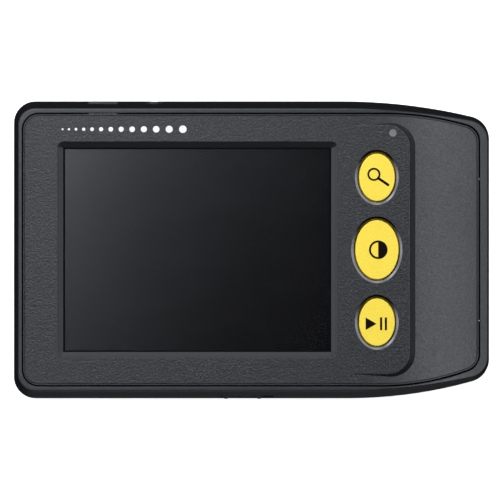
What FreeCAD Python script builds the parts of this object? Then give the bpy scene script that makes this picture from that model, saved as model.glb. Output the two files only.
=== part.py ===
"""Handheld video magnifier with a 3.5 inch screen, as a parametric FreeCAD document.

Frame: the device lies on its back with the screen facing +Z. +X runs along the long side from the screen to the
thumb grip, +Y runs towards the upper edge of the screen, and the origin is at the centre of the footprint, on the plane
that the four rubber feet stand on. All sizes are millimetres and come from the Dimensions sheet.
"""

import FreeCAD, Part
import Sketcher
import math
import os
import re

V = FreeCAD.Vector
doc = FreeCAD.newDocument("VideoMagnifier")
sheet = doc.addObject("Spreadsheet::Sheet", "Dimensions")
size = {}


def dim(alias, value, note=""):
    """One driving dimension: a plain number in the sheet, with an alias and a note."""
    row = len(size) + 1
    sheet.set("A%d" % row, alias)
    sheet.set("B%d" % row, str(value))
    sheet.set("C%d" % row, note)
    sheet.setAlias("B%d" % row, alias)
    size[alias] = float(value)


# ---- overall shape
dim("body_len", 128, "length over the widest line")
dim("body_wid", 80, "width over the widest line")
dim("body_hgt", 26, "front face above the feet")
dim("back_z", 0.8, "rear face above the feet")
dim("widest_z", 11, "height of the widest line")
dim("draft_top", 2.0, "how far the side leans in between the widest line and the front")
dim("draft_left", 1.3, "the same at the left end")
dim("draft_right", 0.9, "the same at the right end")
dim("draft_back", 1.5, "how far the side leans in between the widest line and the rear face")
dim("back_round", 3.0, "radius round the rear face")
dim("rim_round", 0.45, "radius of the rim's outer edge")
dim("rim_in", 0.2, "radius of the rim's inner edge")
dim("rim_drop", 0.2, "rim of the rear housing below the front face")
dim("taper_start", 24.5, "where the upper long side starts to curve in")
dim("taper_rad", 150, "radius of the curved upper side")
dim("taper_start_low", 26.0, "where the lower long side starts to curve in")
dim("taper_rad_low", 125, "radius of the curved lower side")
dim("corner_left", 5.8)
dim("corner_right", 6.2)
dim("wall", 2.0, "side wall at the widest line")
dim("floor_wall", 1.8, "wall of the rear face")
# ---- parting line and front housing
dim("seam_left", 61.68)
dim("seam_right", 61.42)
dim("seam_half", 36.73)
dim("seam_start", 36.0)
dim("seam_rad", 79.15)
dim("seam_start_low", 34.9)
dim("seam_rad_low", 67.85)
dim("seam_cl", 4.5)
dim("seam_cr", 4.75)
dim("seam_gap", 0.3, "visible groove between the two housings")
dim("bead", 0.32, "narrow border of the front face beside that groove")
dim("trim_wid", 0.2, "width of the fine groove inside the border")
dim("trim_depth", 0.25)
dim("lid_round", 0.14)
dim("front_wall", 1.8)
dim("skirt", 5.0, "how deep the front housing laps into the rear one")
dim("ramp_start", 25.5, "where the thumb grip starts to fall away")
dim("ramp_rad", 88, "radius of the falling grip surface")
dim("panel_left", 24.5)
dim("panel_right", 42.5)
dim("panel_half", 33.5)
dim("panel_corner", 5.8)
dim("panel_depth", 3.0)
dim("panel_round", 0.5, "radius of the panel's edge")
dim("panel_lean", 38, "degrees that the panel's edge leans out")
dim("win_x", -14.6)
dim("win_len", 72.0)
dim("win_wid", 54.9)
dim("win_bevel", 1.65)
dim("win_depth", 1.4)
dim("win_round", 1.7, "corner radius at the top of the screen recess")
dim("win_corner", 0.25, "corner radius of the screen opening")
# ---- buttons
dim("btn_x", 33.7)
dim("btn_pitch", 19.46)
dim("big_a", 5.84)
dim("big_b", 7.94)
dim("small_a", 4.83)
dim("small_b", 6.37)
dim("btn_gap", 0.38)
dim("dish_wid", 0.7)
dim("dish_depth", 0.45)
dim("btn_top", 25.8)
dim("btn_low", 23.0, "underside of the panel")
dim("flange_wid", 0.9)
dim("flange_thk", 0.7)
dim("btn_round", 0.2)
dim("stem_rad", 2.0)
dim("btn_clear", 0.15, "room between the flange and the front housing")
# ---- boards and switches
dim("pcb_z", 16.5)
dim("pcb_thk", 1.6)
dim("pcb_left", -52.5)
dim("pcb_len", 101.5)
dim("pcb_wid", 64)
dim("tact_side", 6.0)
dim("tact_hgt", 2.5)
dim("plunger_rad", 1.65)
dim("plunger_low", 19.7)
dim("plunger_top", 21.4)
dim("bore_rad", 1.75)
# ---- screen stack
dim("glass_z", 23.2)
dim("glass_thk", 1.0)
dim("glass_len", 75.5)
dim("glass_wid", 58.6)
dim("gasket_thk", 0.3)
dim("lcd_len", 74.0)
dim("lcd_wid", 57.5)
dim("lcd_thk", 1.4)
dim("tray_len", 76.4)
dim("tray_wid", 63.6)
dim("tray_thk", 3.0)
dim("tray_z", 19.7)
# ---- camera
dim("cam_x", -18)
dim("cover_len", 30)
dim("cover_wid", 22)
dim("cover_corner", 4)
dim("cover_thk", 1.2)
dim("cover_z", 1.0)
dim("well_wall", 1.5)
dim("well_top", 9.0)
dim("camboard_thk", 1.0)
dim("holder_side", 8.4)
dim("barrel_rad", 3.5)
dim("hood_rad", 7.0)
dim("hood_in", 6.1)
dim("lamp_dx", 10.5)
dim("lamp_dy", 5.0)
dim("lamp_side", 3.5)
# ---- battery
dim("bat_x", 11.0)
dim("bat_len", 48)
dim("bat_wid", 34)
dim("bat_thk", 5.8)
dim("bat_z", 2.75)
dim("bay_left", 7.0)
dim("bay_half", 17.6)
dim("bay_top", 9.2)
dim("bay_wall", 1.4)
dim("door_left", 7.7)
dim("door_half", 19.0)
dim("door_gap", 0.15)
dim("door_thk", 1.6)
dim("tongue_half", 19.8)
dim("door_end_z", 9.0)
dim("door_end_x", 61.3)
# ---- fold-out stand
dim("stand_half", 22, "half of the stand's width, about the camera")
dim("arm_wid", 4.0)
dim("arm_thk", 4.0)
dim("stand_gap", 0.25)
dim("hinge_y", 30.5)
dim("hinge_z", 3.0)
dim("hinge_rad", 1.0)
dim("bar_low", -28)
dim("bar_wid", 6)
# ---- fasteners and feet
dim("screw_lx", -55.6)
dim("screw_ly", 31.2)
dim("screw_rx", 52)
dim("screw_ry", 28.5)
dim("screw_rad", 1.0)
dim("head_rad", 1.9)
dim("head_hgt", 1.3)
dim("sink_rad", 2.1)
dim("sink_z", 4.8)
dim("screw_end", 14.8)
dim("post_split", 10.0)
dim("foot_lx", -49)
dim("foot_ly", 30.5)
dim("foot_rx", 44)
dim("foot_ry", 29.0)
dim("foot_rad", 3.5)
dim("foot_thk", 1.2)
dim("so_lx", -47)
dim("so_ly", 28)
dim("so_rx", 27)
dim("so_ry", 29.5)
dim("so_rad", 2.5)
dim("bs_rad", 0.95)
# ---- side controls and sockets
dim("knob_x", -2.4)
dim("knob_len", 11)
dim("knob_hgt", 4.0)
dim("knob_z", 14.4)
dim("knob_travel", 2.5)
dim("rib_half", 4.45)
dim("usb_x", -40)
dim("usb_wid", 7.7)
dim("usb_hgt", 4.0)
dim("port_face", 38.6)
dim("av_x", -26)
dim("av_z", 13.6)
dim("av_bore", 1.8)
dim("av_barrel", 2.9)
dim("led_x", 38.0)
dim("led_y", 31.4)
dim("pipe_rad", 1.0)
doc.recompute()
S = size
WORDS = re.compile(r"[A-Za-z_]\w*")
FUNCTIONS = ("sqrt", "tan", "atan", "sin", "cos")


def bound(text):
    """A size written with the sheet's aliases, as an expression of the document."""
    return WORDS.sub(lambda m: m.group(0) if m.group(0) in FUNCTIONS else "Dimensions." + m.group(0), text)


def bind(obj, prop, what):
    if isinstance(what, str):
        obj.setExpression(prop, bound(what))
    elif prop.startswith("Placement.Base"):
        base = obj.Placement.Base
        setattr(base, prop[-1], float(what))
        obj.Placement = FreeCAD.Placement(base, obj.Placement.Rotation)
    else:
        setattr(obj, prop, float(what))


def place(obj, x, y, z):
    for axis, what in (("x", x), ("y", y), ("z", z)):
        if not isinstance(what, str):
            bind(obj, "Placement.Base." + axis, what)
    for axis, what in (("x", x), ("y", y), ("z", z)):
        if isinstance(what, str):
            bind(obj, "Placement.Base." + axis, what)
    return obj


def box(name, lx, ly, lz, x, y, z):
    """Part::Box with its low corner at x, y, z."""
    o = doc.addObject("Part::Box", name)
    bind(o, "Length", lx)
    bind(o, "Width", ly)
    bind(o, "Height", lz)
    return place(o, x, y, z)


TURN = {
    "+Z": FreeCAD.Rotation(),
    "+X": FreeCAD.Rotation(V(0, 1, 0), 90),
    "+Y": FreeCAD.Rotation(V(1, 0, 0), -90),
    "-Z": FreeCAD.Rotation(V(1, 0, 0), 180),
    "-Y": FreeCAD.Rotation(V(1, 0, 0), 90),
}


def cyl(name, r, h, x, y, z, along="+Z"):
    """Part::Cylinder standing on x, y, z and running along an axis."""
    o = doc.addObject("Part::Cylinder", name)
    bind(o, "Radius", r)
    bind(o, "Height", h)
    o.Placement = FreeCAD.Placement(V(0, 0, 0), TURN[along])
    return place(o, x, y, z)


def fuse(name, *parts):
    o = doc.addObject("Part::MultiFuse", name)
    o.Shapes = list(parts)
    o.Refine = True
    return o


def cut(name, base, *tools):
    """base less every tool."""
    o = doc.addObject("Part::Cut", name)
    o.Base = base
    o.Tool = tools[0] if len(tools) == 1 else group(name + "_tools", *tools)
    o.Refine = True
    return o


def common(name, a, b):
    o = doc.addObject("Part::Common", name)
    o.Base = a
    o.Tool = b
    o.Refine = True
    return o


def group(name, *parts):
    """Separate solids in one object."""
    o = doc.addObject("Part::Compound", name)
    o.Links = list(parts)
    return o


def fillet(name, base, picks, radius):
    """Part::Fillet on the edges that picks chooses, all at one radius."""
    doc.recompute()
    o = doc.addObject("Part::Fillet", name)
    o.Base = base
    chosen = [(i + 1, radius, radius) for i, e in enumerate(base.Shape.Edges) if picks(e)]
    if not chosen:
        raise ValueError("no edge to round on " + name)
    o.Edges = chosen
    return o


def origin_plane(body, role):
    return [f for f in body.Origin.OriginFeatures if f.Role == role][0]


def new_sketch(body, name, role, offset=0.0, expression=None):
    s = body.newObject("Sketcher::SketchObject", name)
    s.AttachmentSupport = (origin_plane(body, role), "")
    s.MapMode = "FlatFace"
    s.AttachmentOffset = FreeCAD.Placement(V(0, 0, offset), FreeCAD.Rotation())
    if expression:
        s.setExpression("AttachmentOffset.Base.z", bound(expression))
    return s


def name_constraint(s, constraint, name, expression):
    i = s.addConstraint(constraint)
    s.renameConstraint(i, name)
    if expression:
        s.setExpression("Constraints." + name, bound(expression))


def arc(cx, cy, r, a0, a1):
    return Part.ArcOfCircle(Part.Circle(V(cx, cy, 0), V(0, 0, 1), r), math.radians(a0), math.radians(a1))


def outline(body, name, a, c, b, x, r, xl, rl, l, k, z):
    """The device's outline: straight on the left, curving in towards a rounded right end.

    Each size is a pair, (value, expression): left extent a, right extent c, half width b, start of the curve x, its
    radius r, the same two for the lower side xl and rl, left corner l, right corner k and height z."""
    s = new_sketch(body, name, "XY_Plane", z[0], z[1])
    (a, ea), (c, ec), (b, eb), (x, ex), (r, er), (xl, exl), (rl, erl), (l, el), (k, ek) = a, c, b, x, r, xl, rl, l, k
    yc = (b - r) + math.sqrt((r - k) ** 2 - (c - k - x) ** 2)
    d = math.degrees(math.asin((c - k - x) / (r - k)))
    yl = (b - rl) + math.sqrt((rl - k) ** 2 - (c - k - xl) ** 2)
    dl = math.degrees(math.asin((c - k - xl) / (rl - k)))
    s.addGeometry(
        [
            Part.LineSegment(V(-a + l, -b, 0), V(xl, -b, 0)),
            arc(xl, -(b - rl), rl, -90, -90 + dl),
            arc(c - k, -yl, k, -90 + dl, 0),
            Part.LineSegment(V(c, -yl, 0), V(c, yc, 0)),
            arc(c - k, yc, k, 0, 90 - d),
            arc(x, b - r, r, 90 - d, 90),
            Part.LineSegment(V(x, b, 0), V(-a + l, b, 0)),
            arc(-a + l, b - l, l, 90, 180),
            Part.LineSegment(V(-a, b - l, 0), V(-a, -b + l, 0)),
            arc(-a + l, -b + l, l, 180, 270),
        ],
        False,
    )
    C = Sketcher.Constraint
    s.addConstraint([C("Tangent", i, 2, (i + 1) % 10, 1) for i in range(10)])
    s.addConstraint([C("Horizontal", 0), C("Vertical", 3), C("Vertical", 8)])
    name_constraint(s, C("DistanceX", 8, 1, -1, 1, a), "left_extent", ea)
    name_constraint(s, C("DistanceX", -1, 1, 3, 1, c), "right_extent", ec)
    name_constraint(s, C("DistanceY", -1, 1, 6, 1, b), "top_extent", eb)
    name_constraint(s, C("DistanceY", 0, 1, -1, 1, b), "bottom_extent", eb)
    name_constraint(s, C("DistanceX", -1, 1, 6, 1, x), "curve_start", ex)
    name_constraint(s, C("DistanceX", -1, 1, 0, 2, xl), "curve_start_low", exl)
    name_constraint(s, C("Radius", 5, r), "curve_radius", er)
    name_constraint(s, C("Radius", 1, rl), "curve_radius_low", erl)
    name_constraint(s, C("Radius", 7, l), "left_corner", el)
    name_constraint(s, C("Radius", 9, l), "left_corner_low", el)
    name_constraint(s, C("Radius", 4, k), "right_corner", ek)
    name_constraint(s, C("Radius", 2, k), "right_corner_low", ek)
    return s


def body_outline(body, name, inset, z):
    """The outer outline, drawn inset by a distance, a pair of value and expression."""
    v, e = inset
    return outline(
        body,
        name,
        (S["body_len"] / 2 - v, "body_len / 2 - (%s)" % e),
        (S["body_len"] / 2 - v, "body_len / 2 - (%s)" % e),
        (S["body_wid"] / 2 - v, "body_wid / 2 - (%s)" % e),
        (S["taper_start"], "taper_start"),
        (S["taper_rad"] - v, "taper_rad - (%s)" % e),
        (S["taper_start_low"], "taper_start_low"),
        (S["taper_rad_low"] - v, "taper_rad_low - (%s)" % e),
        (S["corner_left"] - v, "corner_left - (%s)" % e),
        (S["corner_right"] - v, "corner_right - (%s)" % e),
        z,
    )


def seam_outline(body, name, inset, z):
    """The parting line between the housings, drawn inset by a distance."""
    v, e = inset
    return outline(
        body,
        name,
        (S["seam_left"] - v, "seam_left - (%s)" % e),
        (S["seam_right"] - v, "seam_right - (%s)" % e),
        (S["seam_half"] - v, "seam_half - (%s)" % e),
        (S["seam_start"], "seam_start"),
        (S["seam_rad"] - v, "seam_rad - (%s)" % e),
        (S["seam_start_low"], "seam_start_low"),
        (S["seam_rad_low"] - v, "seam_rad_low - (%s)" % e),
        (S["seam_cl"] - v, "seam_cl - (%s)" % e),
        (S["seam_cr"] - v, "seam_cr - (%s)" % e),
        z,
    )


def pad(body, sketch, name, length, taper=None, reverse=False, symmetric=False):
    p = body.newObject("PartDesign::Pad", name)
    p.Profile = sketch
    bind(p, "Length", length)
    if taper is not None:
        bind(p, "TaperAngle", taper)
    p.Reversed = reverse
    if symmetric:
        p.SideType = "Symmetric"
    sketch.Visibility = False
    return p


def new_body(name):
    return doc.addObject("PartDesign::Body", name)


def side_band(name, top, low):
    """A slab across the width between two curves that follow the front face: flat as far as the grip, then a falling
    arc. top and low are (value, expression) below the front face."""
    body = new_body(name)
    s = new_sketch(body, name + "_profile", "XZ_Plane")
    T, x0, R = S["body_hgt"], S["ramp_start"], S["ramp_rad"]
    far, left = 68.0, -68.0

    def curve(drop):
        r = R - drop
        a = math.degrees(math.acos((far - x0) / r))
        return r, a

    (r1, a1), (r2, a2) = curve(top[0]), curve(low[0])
    z1 = T - R + r1 * math.sin(math.radians(a1))
    z2 = T - R + r2 * math.sin(math.radians(a2))
    s.addGeometry(
        [
            Part.LineSegment(V(left, T - low[0], 0), V(x0, T - low[0], 0)),
            arc(x0, T - R, r2, a2, 90),
            Part.LineSegment(V(far, z2, 0), V(far, z1, 0)),
            arc(x0, T - R, r1, a1, 90),
            Part.LineSegment(V(x0, T - top[0], 0), V(left, T - top[0], 0)),
            Part.LineSegment(V(left, T - top[0], 0), V(left, T - low[0], 0)),
        ],
        False,
    )
    C = Sketcher.Constraint
    s.addConstraint(
        [
            C("Tangent", 0, 2, 1, 2),
            C("Coincident", 1, 1, 2, 1),
            C("Coincident", 2, 2, 3, 1),
            C("Tangent", 3, 2, 4, 1),
            C("Coincident", 4, 2, 5, 1),
            C("Coincident", 5, 2, 0, 1),
            C("Horizontal", 0),
            C("Horizontal", 4),
            C("Vertical", 2),
            C("Vertical", 5),
        ]
    )
    name_constraint(s, C("DistanceX", 5, 1, -1, 1, -left), "left_reach", None)
    name_constraint(s, C("DistanceX", -1, 1, 2, 1, far), "right_reach", None)
    name_constraint(s, C("DistanceX", -1, 1, 0, 2, x0), "fall_start", "ramp_start")
    name_constraint(s, C("DistanceX", -1, 1, 4, 1, x0), "fall_start_top", "ramp_start")
    name_constraint(s, C("DistanceY", -1, 1, 4, 1, T - top[0]), "top_height", "body_hgt - (%s)" % top[1])
    name_constraint(s, C("DistanceY", -1, 1, 0, 1, T - low[0]), "low_height", "body_hgt - (%s)" % low[1])
    name_constraint(s, C("Radius", 3, r1), "top_radius", "ramp_rad - (%s)" % top[1])
    name_constraint(s, C("Radius", 1, r2), "low_radius", "ramp_rad - (%s)" % low[1])
    pad(body, s, name + "_slab", 100, symmetric=True)
    return body


def round_rectangle(body, name, lx, ly, r, x, y, z):
    """A sketch of a rounded rectangle lx by ly about x, y at height z. Sizes are (value, expression) pairs. r may be None."""
    s = new_sketch(body, name, "XY_Plane", z[0], z[1])
    X0, X1 = x[0] - lx[0] / 2, x[0] + lx[0] / 2
    Y0, Y1 = y[0] - ly[0] / 2, y[0] + ly[0] / 2
    C = Sketcher.Constraint
    if r is None:
        s.addGeometry(
            [
                Part.LineSegment(V(X0, Y0, 0), V(X1, Y0, 0)),
                Part.LineSegment(V(X1, Y0, 0), V(X1, Y1, 0)),
                Part.LineSegment(V(X1, Y1, 0), V(X0, Y1, 0)),
                Part.LineSegment(V(X0, Y1, 0), V(X0, Y0, 0)),
            ],
            False,
        )
        s.addConstraint([C("Coincident", i, 2, (i + 1) % 4, 1) for i in range(4)])
        s.addConstraint([C("Horizontal", 0), C("Horizontal", 2), C("Vertical", 1), C("Vertical", 3)])
        low, right, up, left = 0, 1, 2, 3
    else:
        q = r[0]
        s.addGeometry(
            [
                Part.LineSegment(V(X0 + q, Y0, 0), V(X1 - q, Y0, 0)),
                arc(X1 - q, Y0 + q, q, -90, 0),
                Part.LineSegment(V(X1, Y0 + q, 0), V(X1, Y1 - q, 0)),
                arc(X1 - q, Y1 - q, q, 0, 90),
                Part.LineSegment(V(X1 - q, Y1, 0), V(X0 + q, Y1, 0)),
                arc(X0 + q, Y1 - q, q, 90, 180),
                Part.LineSegment(V(X0, Y1 - q, 0), V(X0, Y0 + q, 0)),
                arc(X0 + q, Y0 + q, q, 180, 270),
            ],
            False,
        )
        s.addConstraint([C("Tangent", i, 2, (i + 1) % 8, 1) for i in range(8)])
        s.addConstraint([C("Horizontal", 0), C("Vertical", 2), C("Horizontal", 4), C("Vertical", 6)])
        for n, g in enumerate((1, 3, 5, 7)):
            name_constraint(s, C("Radius", g, q), "corner%d" % n, r[1])
        low, right, up, left = 0, 2, 4, 6
    name_constraint(s, C("DistanceX", left, 1, right, 1, lx[0]), "length", lx[1])
    name_constraint(s, C("DistanceY", low, 1, up, 1, ly[0]), "width", ly[1])
    for point, coordinate, text, expression in (
        ((left, 1), "X", X0, "%s - (%s) / 2" % (x[1], lx[1])),
        ((low, 1), "Y", Y0, "%s - (%s) / 2" % (y[1], ly[1])),
    ):
        if text < 0:
            name_constraint(s, C("Distance" + coordinate, point[0], point[1], -1, 1, -text), "low_" + coordinate.lower(), "-(%s)" % expression)
        else:
            name_constraint(s, C("Distance" + coordinate, -1, 1, point[0], point[1], text), "low_" + coordinate.lower(), expression)
    return s


def rounded_plate(name, lx, ly, r, x, y, z, h, taper=None, reverse=False):
    """A rounded rectangle lx by ly about x, y, padded up from z."""
    body = new_body(name)
    s = round_rectangle(body, name + "_outline", lx, ly, r, x, y, z)
    pad(body, s, name + "_pad", h, taper, reverse)
    return body


def ellipse(name, a, b, x, y, z):
    """Part::Ellipse with its long axis along Y: b is the half length along Y and a the half width along X."""
    o = doc.addObject("Part::Ellipse", name)
    bind(o, "MajorRadius", b)
    bind(o, "MinorRadius", a)
    o.Placement = FreeCAD.Placement(V(0, 0, 0), FreeCAD.Rotation(V(0, 0, 1), 90))
    return place(o, x, y, z)


def extrude(name, base, h):
    o = doc.addObject("Part::Extrusion", name)
    o.Base = base
    o.DirMode = "Custom"
    o.Dir = V(0, 0, 1)
    o.Solid = True
    bind(o, "LengthFwd", h)
    return o


def loft(name, *sections):
    o = doc.addObject("Part::Loft", name)
    o.Sections = list(sections)
    o.Solid = True
    o.Ruled = True
    return o


BUTTONS = (("zoom", "small", "btn_pitch", 1), ("contrast", "big", "0 * btn_pitch", 0), ("freeze", "small", "-btn_pitch", -1))

# ------------------------------------------------------------------ outer form, shared by the rear housing and the door
form = new_body("outer_form")
half = body_outline(form, "widest_line", (0.0, "0"), (S["widest_z"], "widest_z"))
rim = outline(
    form,
    "rim_line",
    (S["body_len"] / 2 - S["draft_left"], "body_len / 2 - draft_left"),
    (S["body_len"] / 2 - S["draft_right"], "body_len / 2 - draft_right"),
    (S["body_wid"] / 2 - S["draft_top"], "body_wid / 2 - draft_top"),
    (S["taper_start"], "taper_start"),
    (S["taper_rad"] - S["draft_top"], "taper_rad - draft_top"),
    (S["taper_start_low"], "taper_start_low"),
    (S["taper_rad_low"] - S["draft_top"], "taper_rad_low - draft_top"),
    (S["corner_left"] - S["draft_left"], "corner_left - draft_left"),
    (S["corner_right"] - S["draft_right"], "corner_right - draft_right"),
    (S["body_hgt"], "body_hgt"),
)
up = form.newObject("PartDesign::AdditiveLoft", "upper_side")
up.Profile = half
up.Sections = [rim]
up.Ruled = True
half2 = body_outline(form, "widest_line_low", (0.0, "0"), (S["widest_z"], "widest_z"))
down = pad(form, half2, "lower_side", "widest_z - back_z", "-atan(draft_back / (widest_z - back_z))", reverse=True)
form.Tip = down
above = side_band("above_rim", (-12.0, "-12"), (S["rim_drop"], "rim_drop"))
trimmed = cut("trimmed_form", form, above)
rounded = fillet(
    "rounded_form",
    trimmed,
    lambda e: all(abs(v.Point.z - S["back_z"]) < 1e-4 for v in e.Vertexes) and abs(e.CenterOfMass.z - S["back_z"]) < 1e-4,
    S["back_round"],
)


def on_rim(e):
    """An edge round the top of the form, where its side meets the flat or falling front."""
    def front(x):
        if x <= S["ramp_start"]:
            return S["body_hgt"] - S["rim_drop"]
        r = S["ramp_rad"] - S["rim_drop"]
        return S["body_hgt"] - S["ramp_rad"] + math.sqrt(r * r - (x - S["ramp_start"]) ** 2)

    straight_across = abs(e.CenterOfMass.x - S["ramp_start"]) < 0.01 and e.BoundBox.YLength > 60
    return all(abs(v.Point.z - front(v.Point.x)) < 1e-3 for v in e.Vertexes) and not straight_across


envelope = fillet("envelope", rounded, on_rim, S["rim_round"])

# ------------------------------------------------------------------ rear housing
cavity = new_body("cavity_form")
c1 = body_outline(cavity, "cavity_line", (S["wall"], "wall"), (S["widest_z"], "widest_z"))
cu = pad(cavity, c1, "cavity_up", 5.0, "-atan(1.2 / 9.5)")
c2 = body_outline(cavity, "cavity_line_low", (S["wall"], "wall"), (S["widest_z"], "widest_z"))
cd = pad(cavity, c2, "cavity_down", "widest_z - back_z - floor_wall", "-atan(1.2 / (widest_z - back_z - floor_wall))", reverse=True)
cavity.Tip = cd
mouth = new_body("mouth_form")
m1 = seam_outline(mouth, "mouth_line", (0.0, "0"), (15.0, "15"))
pad(mouth, m1, "mouth_pad", 15)

inner_floor = "back_z + floor_wall"
open_shell = cut("open_shell", envelope, cavity, mouth)


def inner_rim(e):
    """An edge where the rim's land meets the groove."""
    def front(x):
        if x <= S["ramp_start"]:
            return S["body_hgt"] - S["rim_drop"]
        r = S["ramp_rad"] - S["rim_drop"]
        return S["body_hgt"] - S["ramp_rad"] + math.sqrt(r * r - (x - S["ramp_start"]) ** 2)

    flat = all(abs(v.Point.z - front(v.Point.x)) < 1e-3 for v in e.Vertexes)
    inside = all(abs(v.Point.y) < S["seam_half"] + 0.01 and -S["seam_left"] - 0.01 < v.Point.x < S["seam_right"] + 0.01 for v in e.Vertexes)
    crossing = abs(e.CenterOfMass.x - S["ramp_start"]) < 0.01
    return flat and inside and not crossing and e.Length > 0.5


shell = fillet("rear_shell", open_shell, inner_rim, S["rim_in"])
lug = []
for side, sx, sy in (("l", "screw_lx", "screw_ly"), ("r", "screw_rx", "screw_ry")):
    for sign, t in (("", "u"), ("-", "d")):
        lug.append(cyl("rear_post_" + side + t, 2.8, "post_split - back_z - floor_wall / 2", sx, sign + sy, "back_z + floor_wall / 2"))
for side, sx, sy in (("l", "so_lx", "so_ly"), ("r", "so_rx", "so_ry")):
    for sign, t in (("", "u"), ("-", "d")):
        lug.append(cyl("standoff_" + side + t, "so_rad", "pcb_z - back_z - floor_wall / 2", sx, sign + sy, "back_z + floor_wall / 2"))
bay_shell = box(
    "bay_shell",
    "door_end_x - bay_left + bay_wall",
    "2 * (bay_half + bay_wall) + 2",
    "bay_top + bay_wall - back_z - 0.8",
    "bay_left - bay_wall",
    "-(bay_half + bay_wall) - 1",
    "back_z + 0.8",
)
well_shell = box(
    "well_shell",
    "cover_len + 2 * well_wall",
    "cover_wid + 2 * well_wall",
    "well_top - back_z - 0.8",
    "cam_x - cover_len / 2 - well_wall",
    "-cover_wid / 2 - well_wall",
    "back_z + 0.8",
)
groove_wall = 1.2
trough = [
    box("trough_left", "arm_wid + 2 * stand_gap + 2.4", "hinge_y - bar_low + 5.2", 5.7, "cam_x - stand_half - stand_gap - 1.2", "bar_low - 1.5", 0.9),
    box("trough_right", "arm_wid + 2 * stand_gap + 2.4", "hinge_y - bar_low + 5.2", 5.7, "cam_x + stand_half - arm_wid - stand_gap - 1.2", "bar_low - 1.5", 0.9),
    box("trough_bar", "2 * stand_half + 2 * stand_gap + 2.4", "bar_wid + 3", 5.7, "cam_x - stand_half - stand_gap - 1.2", "bar_low - 1.5", 0.9),
    box("ear_left", 9.0, 7.4, 5.7, "cam_x - stand_half - 3.4", "hinge_y - 3.4", 0.9),
    box("ear_right", 9.0, 7.4, 5.7, "cam_x + stand_half - 5.6", "hinge_y - 3.4", 0.9),
]
rear_solid = fuse("rear_solid", shell, bay_shell, well_shell, *(trough + lug))

cutters = []
# battery bay, door slot with its side tongues, and the open end
cutters.append(box("bay_space", "door_end_x - bay_left + 6", "2 * bay_half", "bay_top - back_z + 2", "bay_left", "-bay_half", "back_z - 2"))
cutters.append(box("door_space", "body_len / 2 - door_left + 6", "2 * (door_half + door_gap)", "door_thk + 2 + door_gap", "door_left - door_gap", "-door_half - door_gap", "back_z - 2"))
cutters.append(box("tongue_space", "body_len / 2 - door_left + 6", "2 * (tongue_half + door_gap)", "door_thk - 0.6 + 2 * door_gap", "door_left + 4 - door_gap", "-tongue_half - door_gap", "back_z + 0.6 - door_gap"))
cutters.append(box("end_space", 8, "2 * (door_half + door_gap)", "door_end_z + door_gap - back_z + 2", "door_end_x - door_gap", "-door_half - door_gap", "back_z - 2"))
cutters.append(box("contact_slot", 2.6, 18, 4, "bay_left + 0.4", -9, "bay_top - 1"))
# camera well and its cover seat
cutters.append(rounded_plate("cover_seat", (30.2, "cover_len + 0.2"), (22.2, "cover_wid + 0.2"), (4.1, "cover_corner + 0.1"), (S["cam_x"], "cam_x"), (0.0, "0"), (-1.2, "back_z - 2"), "cover_z + cover_thk - back_z + 2"))
cutters.append(rounded_plate("well_mouth", (27.0, "cover_len - 3"), (19.0, "cover_wid - 3"), (3.0, "cover_corner - 1"), (S["cam_x"], "cam_x"), (0.0, "0"), (0.8, "back_z"), 4))
cutters.append(box("well_space", "cover_len", "cover_wid", 10, "cam_x - cover_len / 2", "-cover_wid / 2", 3.4))
# groove for the folded stand
cutters.append(box("groove_left", "arm_wid + 2 * stand_gap", "hinge_y + 2.7 - bar_low + stand_gap", 6.5, "cam_x - stand_half - stand_gap", "bar_low - stand_gap", -1.2))
cutters.append(box("groove_right", "arm_wid + 2 * stand_gap", "hinge_y + 2.7 - bar_low + stand_gap", 6.5, "cam_x + stand_half - arm_wid - stand_gap", "bar_low - stand_gap", -1.2))
cutters.append(box("groove_bar", "2 * stand_half + 2 * stand_gap", "bar_wid + 2 * stand_gap", 6.5, "cam_x - stand_half - stand_gap", "bar_low - stand_gap", -1.2))
cutters.append(cyl("finger_scoop", 6.0, 14, "cam_x - 7", "bar_low - 1.2", -2.6, "+X"))
cutters.append(cyl("pin_hole_left", "hinge_rad", 8.6, "cam_x - stand_half - 3.0", "hinge_y", "hinge_z", "+X"))
cutters.append(cyl("pin_hole_right", "hinge_rad", 8.6, "cam_x + stand_half - 5.6", "hinge_y", "hinge_z", "+X"))
# screws, feet and standoffs
for side, sx, sy in (("l", "screw_lx", "screw_ly"), ("r", "screw_rx", "screw_ry")):
    for sign, t in (("", "u"), ("-", "d")):
        cutters.append(cyl("sink_" + side + t, "sink_rad", "sink_z + 1", sx, sign + sy, -1))
        cutters.append(cyl("clear_" + side + t, "screw_rad + 0.15", 12, sx, sign + sy, 0))
for side, sx, sy in (("l", "foot_lx", "foot_ly"), ("r", "foot_rx", "foot_ry")):
    for sign, t in (("", "u"), ("-", "d")):
        cutters.append(cyl("foot_seat_" + side + t, "foot_rad + 0.05", "foot_thk + 1", sx, sign + sy, -1))
for side, sx, sy in (("l", "so_lx", "so_ly"), ("r", "so_rx", "so_ry")):
    for sign, t in (("", "u"), ("-", "d")):
        cutters.append(cyl("pilot_" + side + t, "bs_rad", 6, sx, sign + sy, "pcb_z - 5"))
# side openings
cutters.append(box("usb_gap", "usb_wid + 0.2", 8, "usb_hgt + 0.2", "usb_x - usb_wid / 2 - 0.1", 35, "pcb_z - usb_hgt - 0.1"))
cutters.append(cyl("av_gap", "av_barrel + 0.1", 8, "av_x", 35, "av_z", "+Y"))
cutters.append(box("knob_gap", "knob_len + knob_travel + 0.6", 4, "knob_hgt + 0.6", "knob_x - knob_len / 2 - 0.3", "-body_wid / 2 - 2.2", "knob_z - knob_hgt / 2 - 0.3"))
cutters.append(box("stem_gap", "4 + knob_travel + 0.6", 8, 3.4, "knob_x - 2.3", "-body_wid / 2 - 2.2", "knob_z - 1.7"))
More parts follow.
